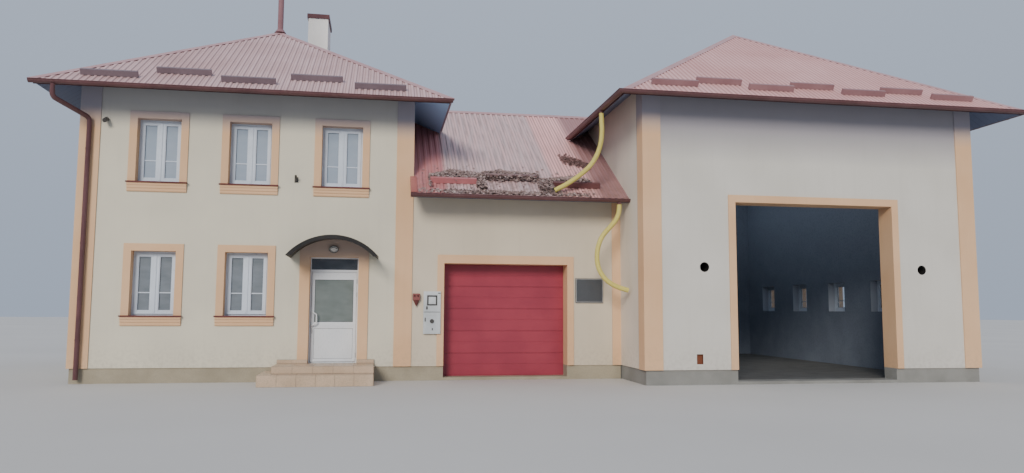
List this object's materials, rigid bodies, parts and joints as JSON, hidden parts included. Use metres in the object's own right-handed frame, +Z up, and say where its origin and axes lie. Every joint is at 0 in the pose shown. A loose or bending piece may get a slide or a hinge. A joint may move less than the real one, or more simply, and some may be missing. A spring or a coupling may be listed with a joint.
{
  "type": "fire station building",
  "caption": "Fire station: two-storey hip-roofed house, low garage wing and an open engine hall with ribbed metal roofs.",
  "frame": {"origin": "on the ground under the middle of the building's outline on plan", "axes": "+X runs along the front from the house towards the engine hall, +Y runs from the street side to the back, +Z is up"},
  "size_m": [21.4722, 12.2186, 11.03],
  "materials": {
    "render_cream": "matt lime render",
    "render_grey": "matt lime render",
    "render_peach": "matt lime render",
    "plinth_grey": "rough cement render",
    "concrete": "trowelled concrete",
    "tile": "matt glazed floor tile",
    "roof_timber": "dark stained boards",
    "roof_red": "faded red coating",
    "gutter_brown": "dark brown coating",
    "sill_red": "dark red coating",
    "door_red": "satin red coating",
    "pvc_white": "white extrusion",
    "glass": "clear float glass",
    "white_metal": "white coating",
    "steel": "brushed",
    "mast_grey": "grey coating",
    "canopy_metal": "weathered coating",
    "plastic_white": "moulded",
    "plastic_grey": "moulded",
    "hose_yellow": "corrugated hose"
  },
  "bodies": {
    "building": {"alarm_box": "white_metal", "chimney": "render_peach", "chimney_cap": "gutter_brown", "concrete_floors": "concrete", "door_surrounds": "render_peach", "entrance_canopy": "canopy_metal", "entrance_frame": "pvc_white", "entrance_lamp": "plastic_white", "entrance_steps": "tile", "flag_holder": "steel", "garage_back_wall": "render_cream", "garage_door": "door_red", "garage_front_wall": "render_cream", "garage_plinth": "plinth_grey", "garage_roof_deck": "roof_timber", "garage_roof_sheet": "roof_red", "gutters": "gutter_brown", "hall_back_wall": "render_grey", "hall_front_pier_left": "render_grey", "hall_front_pier_right": "render_grey", "hall_gate_lintel": "render_grey", "hall_left_wall": "render_grey", "hall_plinth": "plinth_grey", "hall_right_wall": "render_grey", "hall_roof_deck": "roof_timber", "hall_roof_sheet": "roof_red", "house_back_wall": "render_cream", "house_door_lintel": "render_cream", "house_downpipe": "gutter_brown", "house_floors": "concrete", "house_front_wall_left": "render_cream", "house_front_wall_right": "render_cream", "house_front_wall_upper": "render_cream", "house_left_wall": "render_cream", "house_plinth": "plinth_grey", "house_right_wall": "render_cream", "house_roof_deck": "roof_timber", "house_roof_sheet": "roof_red", "lower_hose": "hose_yellow", "meter_cabinet": "plastic_grey", "pilasters": "render_peach", "ridge_caps": "roof_red", "security_camera": "plastic_white", "sill_mouldings": "render_peach", "siren_mast": "mast_grey", "snow_guards": "gutter_brown", "upper_hose": "hose_yellow", "wall_plaque": "white_metal", "window_frames": "pvc_white", "window_glass": "glass", "window_sills": "sill_red", "window_surrounds": "render_peach"},
    "entrance_door": {"door_leaf": "pvc_white", "door_glass": "glass", "door_handle": "steel"}
  },
  "joints": [
    {"name": "entrance_door_hinge", "type": "hinge", "parent": "building", "child": "entrance_door", "pos_m": [-4.18115, -3.51, 1.4], "axis": [0, 0, 1], "range_deg": [0, 90]}
  ]
}
